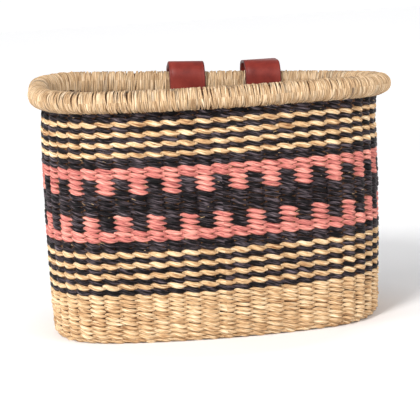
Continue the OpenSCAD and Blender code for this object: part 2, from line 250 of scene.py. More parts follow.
def flat_frames(normal):
    """Outward vectors in 3-D for plan normals, and as many vectors that point up."""
    count = len(normal)
    return np.column_stack([normal, np.zeros(count)]), np.tile([0.0, 0.0, 1.0], (count, 1))


def settle(piece, body, slot, *nodes):
    """Says which body a piece rides and which CAD nodes it replaces. slot, a material slot's name, is not
    used.
    """
    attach(piece, body)
    if nodes:
        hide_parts(*nodes)


# ---------------------------------------------------------------- node helpers and materials

class Shader:
    """A short way to wire a node material."""

    def __init__(self, name, specular=0.5):
        self.mat = bpy.data.materials.new(name)
        self.mat.use_nodes = True
        self.tree = self.mat.node_tree
        self.bsdf = self.tree.nodes["Principled BSDF"]
        self.bsdf.inputs["Specular IOR Level"].default_value = specular

    def node(self, kind, **settings):
        n = self.tree.nodes.new(kind)
        for key, value in settings.items():
            setattr(n, key, value)
        return n

    def put(self, value, socket):
        if isinstance(value, bpy.types.NodeSocket):
            self.tree.links.new(value, socket)
        else:
            socket.default_value = value

    def math(self, op, a, b=0.0):
        n = self.node("ShaderNodeMath", operation=op)
        self.put(a, n.inputs[0])
        self.put(b, n.inputs[1])
        return n.outputs[0]

    def mix(self, fac, a, b):
        """Two colours blended by fac."""
        n = self.node("ShaderNodeMix", data_type="RGBA")
        self.put(fac, n.inputs[0])
        self.put(a, n.inputs[6])
        self.put(b, n.inputs[7])
        return n.outputs[2]

    def uv(self):
        n = self.node("ShaderNodeSeparateXYZ")
        self.put(self.node("ShaderNodeUVMap", uv_map="UVMap").outputs[0], n.inputs[0])
        return n.outputs[0], n.outputs[1]

    def object_point(self):
        return self.node("ShaderNodeTexCoord").outputs["Object"]

    def combine(self, x, y, z=0.0):
        n = self.node("ShaderNodeCombineXYZ")
        for value, socket in zip((x, y, z), n.inputs):
            self.put(value, socket)
        return n.outputs[0]

    def noise(self, vector, scale, detail=3.0, rough=0.6):
        n = self.node("ShaderNodeTexNoise")
        self.put(vector, n.inputs["Vector"])
        n.inputs["Scale"].default_value = scale
        n.inputs["Detail"].default_value = detail
        n.inputs["Roughness"].default_value = rough
        return n.outputs["Fac"]

    def random(self, vector):
        n = self.node("ShaderNodeTexWhiteNoise", noise_dimensions="3D")
        self.put(vector, n.inputs[0])
        return n.outputs["Value"]

    def ramp(self, fac, stops):
        n = self.node("ShaderNodeValToRGB")
        ramp = n.color_ramp
        while len(ramp.elements) < len(stops):
            ramp.elements.new(0.5)
        for element, (place, colour) in zip(ramp.elements, stops):
            element.position = place
            element.color = (*colour, 1)
        self.put(fac, n.inputs[0])
        return n.outputs[0]

    def spread(self, fac, low, high):
        """Maps low..high to 0..1, clamped."""
        n = self.node("ShaderNodeMapRange")
        self.put(fac, n.inputs[0])
        n.inputs[1].default_value = low
        n.inputs[2].default_value = high
        return n.outputs[0]

    def colour(self, value):
        self.put(value, self.bsdf.inputs["Base Color"])

    def roughness(self, value):
        self.put(value, self.bsdf.inputs["Roughness"])

    def bump(self, height, distance, strength=1.0):
        n = self.node("ShaderNodeBump")
        n.inputs["Strength"].default_value = strength
        n.inputs["Distance"].default_value = distance
        self.put(height, n.inputs["Height"])
        self.put(n.outputs[0], self.bsdf.inputs["Normal"])


STREAK_SHARE = 0.29                     # share of the straw that is weathered, where it is at all


def srgb(r, g, b):
    """Linear colour from the 0..255 values that a screen shows."""
    def linear(c):
        return c / 12.92 if c <= 0.04045 else ((c + 0.055) / 1.055) ** 2.4

    return tuple(linear(c / 255) for c in (r, g, b))


def straw(name, deep, mid, pale, rough=0.6, streak=None, specular=0.25, twist=1.2, pale_highlight_from=0.80):
    """Split grass: bundled fibres along u, a shade of its own for each stretch between stakes.
    The fibres' deep colour sits in the bump's grooves as painted shade and their pale colour on the ridges as
    painted highlight, mixed with the grass's own fibre tone.
    u counts stakes along a strand. The whole part of v numbers the strand and its fraction goes round it.
    streak is the colour of weathered patches, which cover about STREAK_SHARE of the turns."""
    s = Shader(name, specular)
    u, v = s.uv()
    strand = s.math("FLOOR", v)
    segment = s.math("FLOOR", s.math("ADD", u, 0.5))
    own = s.random(s.combine(segment, strand, 3.0))
    across = s.math("ADD", s.math("MULTIPLY", v, 11.0), s.math("MULTIPLY", u, twist))
    blade = s.noise(s.combine(s.math("MULTIPLY", u, 1.1), across, 0.0), 1.0, 2.0, 0.5)
    hair = s.noise(s.combine(s.math("MULTIPLY", u, 1.6), s.math("MULTIPLY", across, 3.2), 7.0), 1.0, 3.0, 0.7)
    fibre = s.math("ADD", s.math("MULTIPLY", s.spread(blade, 0.30, 0.70), 0.62),
                   s.math("MULTIPLY", s.spread(hair, 0.28, 0.72), 0.38))
    shade = s.math("ADD", s.math("MULTIPLY", fibre, 0.84), s.math("MULTIPLY", own, 0.16))
    # painted light mixed with the grass's own tone: deep, where the bump's grooves are, is painted shade, and
    # pale, on the tops of the ridges, is painted highlight
    base = s.ramp(shade, [(0.20, deep), (0.50, mid), (pale_highlight_from, pale)])
    if streak is not None:
        slow = s.combine(s.math("MULTIPLY", strand, 0.035), s.math("MULTIPLY", u, 0.2), 5.0)
        cloud = s.noise(slow, 2.2, 2.0)
        uneven = s.math("ADD", s.math("MULTIPLY", own, 0.25), cloud)
        patch = s.spread(uneven, 1.0 - STREAK_SHARE, 1.1 - STREAK_SHARE)
        base = s.mix(s.math("MULTIPLY", patch, s.spread(fibre, 0.75, 0.30)), base, (*streak, 1))
    s.colour(base)
    s.roughness(s.math("ADD", s.math("MULTIPLY", fibre, 0.25), rough - 0.1))
    s.bump(fibre, 0.0009, 1.0)
    return s.mat


def leather_material(name, deep, mid, pale, edge):
    """Vegetable-tanned leather: fine grain, soft mottling, worn lights and dark burnished edges.
    v is the distance in metres from the nearest long edge, and u the distance along the strap."""
    s = Shader(name, 0.3)
    _, v = s.uv()
    p = s.object_point()
    mottle = s.noise(p, 55, 4.0, 0.6)
    fine = s.noise(p, 900, 3.0, 0.7)
    pores = s.node("ShaderNodeTexVoronoi")
    s.put(p, pores.inputs["Vector"])
    pores.inputs["Scale"].default_value = 1400
    base = s.ramp(s.math("ADD", s.math("MULTIPLY", mottle, 0.85), s.math("MULTIPLY", fine, 0.2)),
                  [(0.30, deep), (0.52, mid), (0.78, pale)])
    wear = s.spread(s.math("ADD", v, s.math("MULTIPLY", mottle, 0.0012)), 0.0022, 0.0005)
    base = s.mix(wear, base, (*edge, 1))
    s.colour(base)
    s.roughness(s.math("ADD", s.math("MULTIPLY", mottle, 0.22), 0.36))
    grain = s.math("ADD", s.math("MULTIPLY", pores.outputs["Distance"], 0.6), s.math("MULTIPLY", fine, 0.6))
    s.bump(grain, 0.00012, 0.6)
    return s.mat


def thread_material():
    """Pale waxed thread with twisted plies."""
    s = Shader("waxed_thread")
    u, v = s.uv()
    ply = s.node("ShaderNodeTexWave", wave_type="BANDS", bands_direction="DIAGONAL")
    s.put(s.combine(s.math("MULTIPLY", u, 900.0), s.math("MULTIPLY", v, 2.0), 0.0), ply.inputs["Vector"])
    ply.inputs["Scale"].default_value = 1.0
    s.colour(s.ramp(ply.outputs["Fac"], [(0.1, srgb(150, 110, 80)), (0.7, srgb(226, 196, 158))]))
    s.bsdf.inputs["Roughness"].default_value = 0.6
    s.bump(ply.outputs["Fac"], 0.0001, 0.6)
    return s.mat


def brass_material():
    """Worn brass: cloudy tone and fine scratches along the wire."""
    s = Shader("worn_brass")
    s.bsdf.inputs["Metallic"].default_value = 1.0
    p = s.object_point()
    cloud = s.noise(p, 120, 4.0, 0.6)
    u, v = s.uv()
    scratch = s.noise(s.combine(s.math("MULTIPLY", u, 90.0), s.math("MULTIPLY", v, 30.0)), 3.0)
    stops = [(0.30, srgb(128, 92, 44)), (0.50, srgb(196, 158, 86)), (0.75, srgb(226, 196, 128))]
    s.colour(s.ramp(cloud, stops))
    s.roughness(s.math("ADD", s.math("MULTIPLY", scratch, 0.3), 0.14))
    s.bump(scratch, 0.00004, 0.5)
    return s.mat


def floor_material():
    """White studio floor: it glows more with distance, and its colour is darker and warmer close to the
    basket as a painted contact shadow.
    """
    s = Shader("pale_floor", 0.1)
    p = s.object_point()
    haze = s.noise(p, 3.0, 2.0, 0.5)
    away = s.node("ShaderNodeVectorMath", operation="LENGTH")
    s.put(p, away.inputs[0])
    distance = away.outputs["Value"]
    pale = s.ramp(haze, [(0.0, (0.90, 0.90, 0.90)), (1.0, (0.93, 0.93, 0.93))])
    # painted contact shadow: the floor's colour is darker and warmer from about 0.24 m to 0.15 m from the
    # basket's middle
    s.colour(s.mix(s.spread(distance, 0.24, 0.15), pale, (0.77, 0.745, 0.73, 1)))
    s.bsdf.inputs["Roughness"].default_value = 0.9
    s.bsdf.inputs["Emission Color"].default_value = (1, 1, 1, 1)
    s.put(s.math("MULTIPLY", s.spread(distance, 0.15, 2.5), 0.48), s.bsdf.inputs["Emission Strength"])
    return s.mat


NATURAL = straw("natural_grass", srgb(118, 72, 36), srgb(209, 169, 123), srgb(248, 228, 192), 0.66)
# the black grass's lilac-grey pale colour, only on the topmost fibres, is a painted highlight
BLACK = straw("black_grass", srgb(2, 1, 2), srgb(5, 2, 4), srgb(132, 116, 122), 0.40, specular=0.13,
              pale_highlight_from=0.98)
PINK = straw("pink_grass", srgb(128, 56, 54), srgb(200, 118, 108), srgb(244, 172, 154), 0.62, specular=0.2)
STAKE = straw("stake_grass", srgb(40, 24, 14), srgb(84, 52, 28), srgb(140, 102, 66), 0.7)
RIM = straw("rim_grass", srgb(108, 74, 44), srgb(204, 168, 126), srgb(250, 228, 196), 0.62,
            streak=srgb(112, 92, 74), twist=0.2)
STRAY = straw("stray_grass", srgb(160, 120, 80), srgb(214, 178, 130), srgb(244, 222, 184), 0.6)
LEATHER = leather_material("red_brown_leather", srgb(88, 24, 18), srgb(114, 35, 26), srgb(136, 52, 40),
                           srgb(60, 18, 18))
THREAD = thread_material()
BRASS = brass_material()
FLOOR = floor_material()


# ---------------------------------------------------------------- camera, light and floor

PICTURE_PX = 420                        # width of the square picture
SENSOR_MM = 36
FLOOR_HALF = 6.0                        # half the side of the floor
FLOOR_Z = -0.6 * MM                     # the lowest strands dip this far below the frame's floor


def camera():
    """Looks at the basket from the front, a little from the left and from above."""
    focal_px = 1762
    azimuth, elevation, roll = -4.0, 9.11, -3.446
    distance = 1.793
    target = Vector((0.0, 0.0, 0.1141))
    az, el, ro = (math.radians(v) for v in (azimuth, elevation, roll))
    back = Vector((math.sin(az) * math.cos(el), -math.cos(az) * math.cos(el), math.sin(el)))
    right = Vector((math.cos(az), math.sin(az), 0))
    up = back.cross(right)
    right2 = right * math.cos(ro) + up * math.sin(ro)
    up2 = up * math.cos(ro) - right * math.sin(ro)
    data = bpy.data.cameras.new("camera")
    data.sensor_width = SENSOR_MM
    data.lens = focal_px / PICTURE_PX * SENSOR_MM
    data.clip_end = 50
    obj = bpy.data.objects.new("camera", data)
    bpy.context.scene.collection.objects.link(obj)
    turn = Matrix((right2, up2, back)).transposed().to_4x4()
    obj.matrix_world = Matrix.Translation(target + back * distance) @ turn
    bpy.context.scene.camera = obj


def area_light(name, place, size, power):
    """A round lamp that points at the middle of the basket."""
    aim = Vector((0, 0, 0.12))
    data = bpy.data.lights.new(name, "AREA")
    data.shape, data.size, data.energy = "DISK", size, power
    obj = bpy.data.objects.new(name, data)
    bpy.context.scene.collection.objects.link(obj)
    obj.location = place
    obj.rotation_euler = (aim - Vector(place)).to_track_quat("-Z", "Y").to_euler()


def studio():
    """A white room that is brightest at eye level, with a soft key from the upper left."""
    world = bpy.data.worlds.new("studio")
    world.use_nodes = True
    tree = world.node_tree
    split = tree.nodes.new("ShaderNodeSeparateXYZ")
    tree.links.new(tree.nodes.new("ShaderNodeTexCoord").outputs["Generated"], split.inputs[0])
    ramp = tree.nodes.new("ShaderNodeValToRGB")
    tree.links.new(split.outputs[2], ramp.inputs[0])
    level, above = ramp.color_ramp.elements
    level.position = 0.15
    level.color = (1.05, 1.05, 1.05, 1)
    above.position = 0.6
    above.color = (0.42, 0.42, 0.43, 1)
    tree.links.new(ramp.outputs[0], tree.nodes["Background"].inputs[0])
    bpy.context.scene.world = world
    bpy.context.scene.view_settings.view_transform = "Standard"
    area_light("key", (-1.2, -1.9, 1.9), 0.8, 74)
    area_light("fill", (1.6, -1.4, 0.9), 1.6, 25)
    area_light("side", (-1.7, -0.5, 0.7), 0.7, 14)
    mesh = bpy.data.meshes.new("floor")
    corners = [(x * FLOOR_HALF, y * FLOOR_HALF, 0) for x, y in ((-1, -1), (1, -1), (1, 1), (-1, 1))]
    mesh.from_pydata(corners, [], [(0, 1, 2, 3)])
    floor = link("floor", mesh, FLOOR)
    floor.location.z = FLOOR_Z


# ---------------------------------------------------------------- the weave

MID = 4.3 * MM                          # the wall's middle lies this far inside its outer face
SWING = 2.7 * MM                        # how far a strand goes in and out of the middle
PER_STAKE = 10                          # rings along a strand from one stake to the next
CROSSING_DROP = 0.24                    # how far a strand drops to a crossing, in rows
STRAND_T = 1.3 * MM                     # half thickness of a strand
LOWEST_ROW = 2.3 * MM                   # no row's centre is lower, so that the strands stand on the floor

# Bands from the floor up: CAD node, number of rows, and the rows' letters, repeated as needed.
# n is natural, d and k are black, p is pink, and c and C are checks with pink or black first.
ROW_PLAN = [
    ("lower_wall_natural", 11, "n"),
    ("lower_stripes", 8, "dndndndn"),
    ("lower_border_black", 2, "k"),
    ("pink_band_lower", 2, "p"),
    ("check_band_lower", 3, "c"),
    ("centre_band_black", 4, "k"),
    ("check_band_upper", 3, "C"),
    ("pink_band_upper", 2, "p"),
    ("upper_border_black", 2, "k"),
    ("upper_stripes", 7, "ndndndn"),
    ("top_border_black", 2, "k"),
]


def band_span(name):
    """Height of a band's bottom and top, from its CAD nodes."""
    if name.endswith("stripes"):
        spans = [lo_hi(name + end) for end in ("_dark", "_natural")]
        return min(s[0][2] for s in spans), max(s[1][2] for s in spans)
    low, high = lo_hi(name)
    return (0.0 if name == "lower_wall_natural" else low[2]), high[2]


def jitter(count, size):
    """A smooth ring of small random values, one a stake, as a function of the place in stakes."""
    values = RNG.normal(0, size, count)
    wrapped = np.append(values, values[0])
    return lambda at: np.interp(np.asarray(at) % count, np.arange(count + 1), wrapped)


def strand(builder, z, row_h, flip, v_number):
    """One of the two strands of a row: outside the even stakes, inside the odd ones; flip swaps them."""
    n = STAKES * PER_STAKE
    stake = np.arange(n) / PER_STAKE
    phase = math.pi * (stake + flip)
    w, d = wall_size(z)
    xy, normal, _ = outline((stake + STAKE_PHASE) / STAKES, w, d)
    lift, swell, push = jitter(STAKES, 0.055), jitter(STAKES, 0.07), jitter(STAKES, 0.22 * MM)
    out = np.cos(phase)
    offset = -MID + SWING * np.sign(out) * np.abs(out) ** 1.1 + push(stake)
    height = z - CROSSING_DROP * row_h * np.sin(phase) + row_h * lift(stake)
    thick = STRAND_T * (0.85 + 0.3 * np.abs(out))
    tall = row_h * (0.25 + 0.30 * np.abs(out) ** 0.8) * (1 + swell(stake))
    path = np.column_stack([xy + normal * offset[:, None], height])
    side, up = flat_frames(normal)
    rings = rings_along(path, side, up, thick, tall, 8, 0.85, 0.5)
    builder.tube(rings, stake + flip, v_number, v_number + 0.999, closed=True)


def strand_colour(letter, flip):
    """Colour of a row's first (flip 0) or second strand."""
    if letter in "cC":
        pink_first = 0 if letter == "c" else 1
        return "pink" if flip == pink_first else "black"
    return {"n": "natural", "d": "black", "k": "black", "p": "pink"}[letter]


def weave():
    """Every twined row of the wall, gathered into one piece for each colour of each band."""
    row = 0
    made = {}
    for name, rows, letters in ROW_PLAN:
        low, high = band_span(name)
        row_h = (high - low) / rows
        for i in range(rows):
            letter = letters[i % len(letters)]
            z = max(low + (i + 0.5) * row_h, LOWEST_ROW)
            for flip in (0, 1):
                key = (name, strand_colour(letter, flip))
                strand(made.setdefault(key, Builder()), z, row_h, flip, 2 * row + flip + 1)
            row += 1
    materials = {"natural": NATURAL, "black": BLACK, "pink": PINK}
    for (name, colour), builder in made.items():
        piece = builder.piece(name + "_" + colour + "_weave", materials[colour], hand_made)
        nodes = [name]
        if name.endswith("stripes"):
            nodes = [name + ("_dark" if colour == "black" else "_natural")]
        if name == "lower_wall_natural":
            nodes.append("inner_weft")
        settle(piece, "basket", colour + "_straw", *nodes)


def stakes():
    """Bundles of grass that the rows are twined round, from the base up into the rim.
    Each has a round heart and a thin fan of blades that closes the gap to its neighbours."""
    heart_t, heart_w = 1.25 * MM, 2.3 * MM
    fan_t, fan_w = 0.45 * MM, 9.0 * MM
    margin = 4 * MM
    z = np.linspace(margin, RIM_Z - margin, 14)
    u = z / 0.02
    w, d = wall_size(np.minimum(z, WALL_H))
    builder = Builder()
    for k in range(STAKES):
        xy, normal, _ = outline((k + STAKE_PHASE) / STAKES, w, d)
        path = np.column_stack([xy - normal * MID, z])
        side, _ = flat_frames(normal)
        along = np.column_stack([-normal[:, 1], normal[:, 0], 0 * z])
        builder.tube(rings_along(path, side, along, heart_t, heart_w), u, k, k + 0.999)
        builder.tube(rings_along(path, side, along, fan_t, fan_w), u, STAKES + k, STAKES + k + 0.999)
    settle(builder.piece("stake_bundles", STAKE, hand_made), "basket", "rim_straw", "stakes")


def base():
    """The twined bottom: rounds that shrink from the wall's foot to the middle line."""
    base_low, base_high = lo_hi("base_panel")
    past_foot = 5.5 * MM                # the first round lies this far outside the wall's rounded foot
    pitch = 4.6 * MM
    swing = 1.9 * MM
    per_stake = 6
    builder = Builder()
    w, d = wall_size(0.0)
    w, d = w + past_foot, d + past_foot
    core = w - d
    z_mid = (base_low[2] + base_high[2]) / 2
    rounds = int((d - 2 * MM) / pitch)
    for r in range(rounds):
        t = 1 - (r + 0.5) * pitch / d
        share = STAKES if t > 0.55 else STAKES // 2 if t > 0.25 else STAKES // 4
        stake = np.arange(share * per_stake) / per_stake
        xy, _, _ = outline(stake / share, w, d)
        foot = np.column_stack([np.clip(xy[:, 0], -core, core), 0 * xy[:, 0]])
        ray = xy - foot
        centre = foot + ray * t
        out = ray / np.linalg.norm(ray, axis=1, keepdims=True)
        for flip in (0, 1):
            lift = jitter(share, 0.12 * MM)
            phase = math.pi * (stake + flip + r)
            path = np.column_stack([
                centre + out * (0.22 * pitch * np.sin(phase))[:, None],
                z_mid + swing * np.cos(phase) + lift(stake),
            ])
            side, up = flat_frames(out)
            wide = 0.56 * pitch * (0.8 + 0.2 * np.cos(phase) ** 2)
            number = 2 * r + flip
            rings = rings_along(path, side, up, wide, 1.25 * MM)
            builder.tube(rings, stake + flip, number, number + 0.999, closed=True)
    settle(builder.piece("base_weave", NATURAL), "basket", "natural_straw", "base_panel")


def strays():
    """Ends of grass that stick out between the rows above the plain band."""
    count = 150
    lowest, highest = 48 * MM, WALL_H - 3 * MM
    depth = 1.0 * MM                    # each begins this far inside the wall's outer face
    builder = Builder()
    for k in range(count):
        z = RNG.uniform(lowest, highest)
        turn = RNG.uniform(0, 1)
        w, d = wall_size(z)
        length = RNG.uniform(1.2, 4.5) * MM
        steps = np.linspace(0, 1, 6)
        xy, normal, _ = outline(turn + steps * length / 0.92, w, d)
        lift = RNG.uniform(-0.4, 0.4) * length
        rise = RNG.uniform(0.3, 1.1) * MM
        offset = -depth + (rise + 0.9 * MM) * steps
        path = np.column_stack([xy + normal * offset[:, None], z + lift * steps])
        side, up = frames_along(path, (0, 0, 1))
        thin = RNG.uniform(0.18, 0.38) * MM * (1 - 0.5 * steps)
        builder.tube(rings_along(path, side, up, thin, thin, 6), steps * 3 + k, k, k + 0.99)
    settle(builder.piece("stray_ends", STRAY, hand_made), "basket", "natural_straw")


# ---------------------------------------------------------------- the rim

def rim_winding():
    """Straw wound round the rim's core, each turn a loop of its own width, slant and bulge."""
    sides = 25
    wall_side = math.radians(228)       # where the turns reach down over the wall's top
    reach = 4.6 * MM
    builder = Builder()
    _, _, length = outline(0.0, RIM_W, RIM_D)
    at, k = 0.0, 0
    angle = 2 * math.pi * np.arange(sides) / sides
    toward_wall = np.exp(-(((angle - wall_side) / 0.5) ** 2))
    while at < length - 1 * MM:
        width = RNG.uniform(1.5, 2.3) * MM
        slant = RNG.normal(-1.0, 0.55) * MM
        bulge = RNG.normal(0, 0.16) * MM
        wob = RNG.normal(0, 0.16, 3) * MM
        radius = RIM_R - 1.1 * MM + bulge + reach * toward_wall
        radius = radius + wob[0] * np.cos(2 * angle) + wob[1] * np.sin(3 * angle)
        s = at + width / 2 + slant * np.sin(angle + 0.4) + wob[2] * np.cos(2 * angle)
        xy, normal, _ = outline(s / length, RIM_W, RIM_D)
        along = np.column_stack([-normal[:, 1], normal[:, 0], 0 * s])
        outward = np.column_stack([normal * np.cos(angle)[:, None], np.sin(angle)])
        path = np.column_stack([xy, np.full(sides, RIM_Z)]) + outward * radius[:, None]
        taper = 1 + 0.16 * np.sin(angle + RNG.uniform(0, 6))
        rings = rings_along(path, along, outward, width * 0.57 * taper, 0.95 * MM, 7, 0.9)
        builder.tube(rings, angle / math.pi * 1.6, k, k + 0.999, closed=True)
        at += width
        k += 1
    settle(builder.piece("rim_winding", RIM, hand_made), "basket", "rim_straw", "rim_wrap")


def rim_bundle():
    """The core under the winding, and the bent stake ends that fill the corner above the wall."""
    turn = np.linspace(0, 1, 241)[:-1]
    count = len(turn)
    builder = Builder()
    xy, normal, _ = outline(turn, RIM_W, RIM_D)
    path = np.column_stack([xy, np.full(count, RIM_Z)])
    side, up = flat_frames(normal)
    core_r = RIM_R - 2.4 * MM
    builder.tube(rings_along(path, side, up, core_r, core_r, 16), turn * 40, 1, 2, closed=True)
    w, d = wall_size(WALL_H)
    xy, normal, _ = outline(turn, w, d)
    path = np.column_stack([xy - normal * MID, np.full(count, WALL_H + 1.5 * MM)])
    side, up = flat_frames(normal)
    builder.tube(rings_along(path, side, up, 3.4 * MM, 4.5 * MM, 12), turn * 40, 3, 4, closed=True)
    settle(builder.piece("rim_bundle", STAKE, hand_made), "basket", "rim_straw", "rim_core")


# ---------------------------------------------------------------- leather

STITCH_L = 3.2 * MM
STITCH_PITCH = 4.6 * MM
SEAM_IN = 5 * MM                        # a seam runs this far inside a strip's edge
HOLES = 4                               # in each tail
HOLE_R = 2.2 * MM
HOLE_PITCH = 11 * MM
FIRST_HOLE = 17 * MM                    # above the tail's tip
TIP_L = 14 * MM                         # length of the tail's pointed end
BAR_END = -35                           # degrees round the handlebar where the strap leaves it
FOLD_T = 2.5 * MM                       # one layer of a buckle strap
HEEL_R = 2.2 * MM                       # inside of the fold round the heel bar
SLOT = (7 * MM, 16 * MM, 17 * MM)       # opening for the prong in that fold


def strip_profile(half, thick, crease=2.6 * MM):
    """Cross-section of a strip: x across, n through, and the distance from the nearest long edge.
    crease is how far from the edge a shallow line is pressed in."""
    half_t = thick / 2
    r = half_t * 0.92
    groove = 0.22 * MM
    beside = 0.5 * MM
    flat = [half - r, half - crease + beside, half - crease, half - crease - beside, half * 0.55, half * 0.2]
    dips = [0, 0, groove, 0, 0, 0]
    top = [(x, half_t - g) for x, g in zip(flat, dips)]
    corner = [(half - r + r * math.sin(a), half_t * math.cos(a)) for a in np.radians([36, 72, 108, 144])]
    right = [(x, -n) for x, n in reversed(top)] + list(reversed(corner)) + top
    left = [(-x, n) for x, n in reversed(right)]
    points = np.array(right + left)
    return points, half - np.abs(points[:, 0])


def lengths_along(path):
    """Distance from the start to each point of a path."""
    return np.concatenate([[0], np.cumsum(np.linalg.norm(np.diff(path, axis=0), axis=1))])


def strip(name, path, normal, half, thick, x0, widths=1.0, sway=0.0, tilt=0.0):
    """A leather strip along a path of (y, z) points, centred on x0, with one face along normal (y, z).
    sway moves each ring sideways and tilt raises it towards +X."""
    profile, edge = strip_profile(half, thick)
    n, k = len(path), len(profile)
    widths, sway, tilt = (np.broadcast_to(value, (n,))[:, None] for value in (widths, sway, tilt))
    rings = np.zeros((n, k, 3))
    rings[:, :, 0] = x0 + sway + profile[None, :, 0] * widths
    rings[:, :, 1] = path[:, 0, None] + normal[:, 0, None] * profile[None, :, 1]
    rings[:, :, 2] = path[:, 1, None] + normal[:, 1, None] * profile[None, :, 1]
    rings[:, :, 2] += tilt * profile[None, :, 0]
    builder = Builder()
    s = lengths_along(path)
    builder.tube(rings, s)
    uv = builder.uvs[0].reshape(n - 1, k, 4, 2)
    end = np.minimum(s, s[-1] - s)
    near = np.minimum(edge[None, :], end[:, None])
    nxt = (np.arange(k) + 1) % k
    uv[:, :, 0, 1] = near[:-1]
    uv[:, :, 1, 1] = near[1:]
    uv[:, :, 2, 1] = near[1:][:, nxt]
    uv[:, :, 3, 1] = near[:-1][:, nxt]
    return builder.piece(name, LEATHER)


def polyline(points, step):
    """Points at even steps along a chain of points."""
    points = np.asarray(points, float)
    s = lengths_along(points)
    at = np.linspace(0, s[-1], max(int(s[-1] / step), 2) + 1)
    return np.column_stack([np.interp(at, s, points[:, i]) for i in range(points.shape[1])])


def smooth(path, times):
    """Rounds the kinks of an evenly stepped path and keeps its ends."""
    for _ in range(times):
        path[1:-1] = (path[:-2] + 2 * path[1:-1] + path[2:]) / 4
    return path


def path_normals(path):
    """Unit vectors square to a path in a plane, on its left."""
    t = np.gradient(path, axis=0)
    t /= np.linalg.norm(t, axis=1, keepdims=True)
    return np.column_stack([-t[:, 1], t[:, 0]])


def arc(centre, r, a0, a1, n=24):
    """n points on a circle from angle a0 to a1, in degrees."""
    a = np.radians(np.linspace(a0, a1, n))
    return np.column_stack([centre[0] + r * np.cos(a), centre[1] + r * np.sin(a)])


def rounded_loop(low, high, bend, step):
    """Closed path of even steps round a rectangle with bent corners."""
    left, right = low[0] + bend, high[0] - bend
    bottom, top = low[1] + bend, high[1] - bend
    centres = ((right, top), (left, top), (left, bottom), (right, bottom))
    ring = np.concatenate([arc(c, bend, 90 * i, 90 * (i + 1), 9) for i, c in enumerate(centres)])
    return polyline(np.concatenate([ring, ring[:1]]), step)[:-1]


def loop_tangents(path):
    """Unit tangents of a closed path."""
    t = np.roll(path, -1, axis=0) - np.roll(path, 1, axis=0)
    return t / np.linalg.norm(t, axis=1, keepdims=True)


def cut_away(piece, add_shapes):
    """Cuts shapes out of a finished strip. add_shapes puts them into a bmesh."""
    mesh = bpy.data.meshes.new("cutter")
    bm = bmesh.new()
    add_shapes(bm)
    bm.to_mesh(mesh)
    bm.free()
    cutter = bpy.data.objects.new("cutter", mesh)
    bpy.context.scene.collection.objects.link(cutter)
    cut = piece.modifiers.new("cut", "BOOLEAN")
    cut.object = cutter
    cut.operation = "DIFFERENCE"
    cut.solver = "EXACT"
    done = bpy.data.meshes.new_from_object(piece.evaluated_get(bpy.context.evaluated_depsgraph_get()))
    piece.modifiers.clear()
    piece.data = done
    bpy.data.objects.remove(cutter)
    bpy.data.meshes.remove(mesh)


def stitches(name, places, normal, body, node):
    """Short curved threads that dive into the leather at both ends. places are (point, direction)."""
    builder = Builder()
    normal = np.array(normal, float)
    for i, (place, along) in enumerate(places):
        along = np.array(along, float)
        along = along + np.cross(normal, along) * RNG.normal(0, 0.05)
        t = np.linspace(-1, 1, 7)
        rise = 0.45 * MM * (1 - t ** 4) - 0.35 * MM * t ** 4
        path = place + along * (t * STITCH_L / 2)[:, None] + normal * rise[:, None]
        side, up = frames_along(path, normal)
        fat = 0.42 * MM * (1 - 0.25 * t ** 4)
        builder.tube(rings_along(path, side, up, fat, fat, 7), t * STITCH_L + i, i, i + 0.99)
    settle(builder.piece(name, THREAD), body, "stitch_thread", node)


def seam(x0, y, z_low, z_high, reach):
    """Stitch places round a sewn rectangle on a face square to Y."""
    places = []
    first, tiny = STITCH_PITCH / 2, 1e-6
    for x in (-reach, reach):
        for z in np.arange(z_low + first, z_high - first + tiny, STITCH_PITCH):
            places.append((np.array([x0 + x, y, z]), (0, 0, 1)))
    for z in (z_low, z_high):
        for x in np.arange(-reach + first, reach - first + tiny, STITCH_PITCH):
            places.append((np.array([x0 + x, y, z]), (1, 0, 0)))
    return places


def strap_box(name):
    """Low and high corners of a strap's node, moved sideways with the leaning rim."""
    low, high = lo_hi(name)
    shift = np.array([LEAN * RIM_Z, 0, 0])
    return low + shift, high + shift


def loop_path(leg_y, top, bottom, half_t, tail_y, tail_end, side):
    """Path (y, z) of a strap: up the inside, over the rim, round the handlebar and down the tail.
    top is its highest face, and bottom and tail_end are the heights of its two ends."""
    loop = mount("handlebar_loop_" + side)
    bar = np.array(loop["pos_m"])[1:]
    bar_r = loop["dims"]["r_mm"] * MM + half_t
    hump_r = RIM_D - leg_y
    hump = np.array([RIM_D, top - half_t - hump_r])
    span = bar - hump
    leave = math.atan2(span[1], span[0]) + math.acos((hump_r - bar_r) / np.linalg.norm(span))
    leave = math.degrees(leave)
    chain = np.concatenate([
        [[leg_y, bottom]],
        arc(hump, hump_r, 180, leave),
        arc(bar, bar_r, leave, BAR_END),
        [[tail_y, tail_end + 55 * MM], [tail_y, tail_end]],
    ])
    return smooth(polyline(chain, 1.4 * MM), 6), bar[0]


